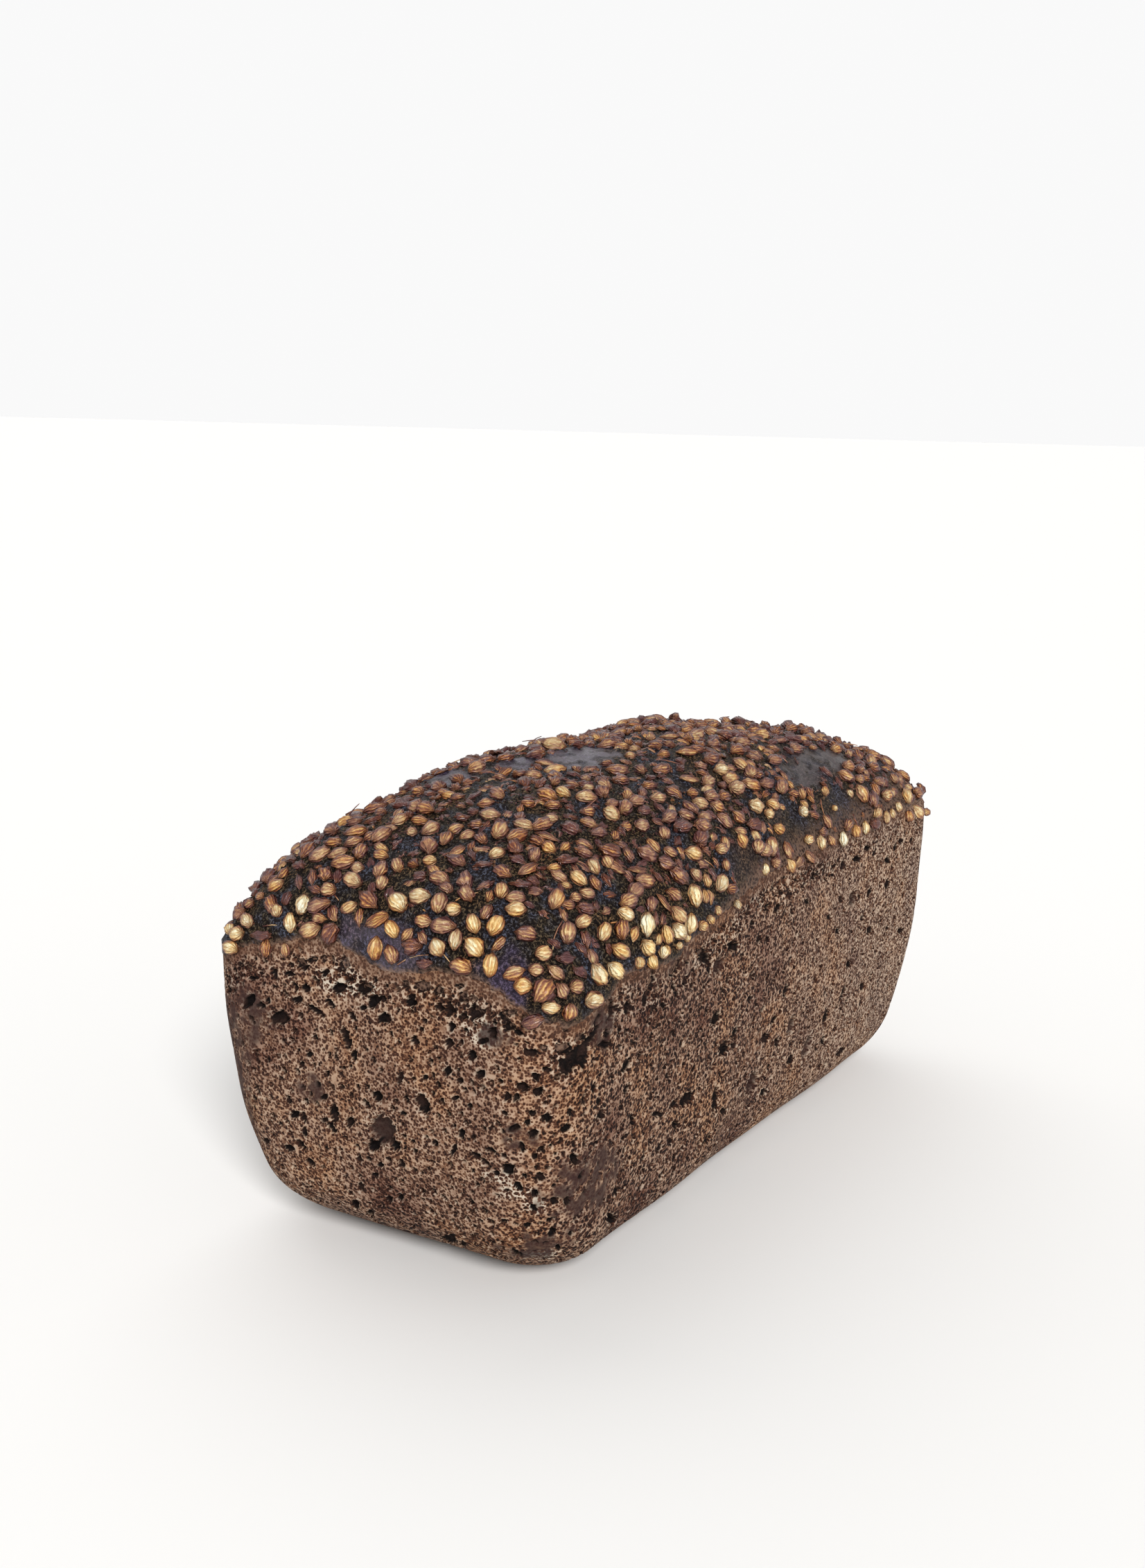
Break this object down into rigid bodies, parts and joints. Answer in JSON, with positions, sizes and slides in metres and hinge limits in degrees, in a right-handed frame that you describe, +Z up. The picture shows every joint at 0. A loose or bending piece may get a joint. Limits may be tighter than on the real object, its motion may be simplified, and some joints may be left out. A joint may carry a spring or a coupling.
{
  "type": "borodinsky rye loaf",
  "caption": "Dark rye tin loaf with straight porous walls, a rounded flat base and a domed dark crust strewn with whole coriander seeds.",
  "frame": {"origin": "under the middle of the loaf, on the flat base that it stands on", "axes": "+X along the loaf, from the end face that the picture shows towards the hidden one, +Y across it, +Z up"},
  "size_m": [0.2017, 0.0884, 0.097],
  "materials": {
    "crumb": "matte",
    "crust": "satin",
    "coriander": "satin"
  },
  "bodies": {
    "root": {"loaf": "crumb"}
  },
  "joints": []
}
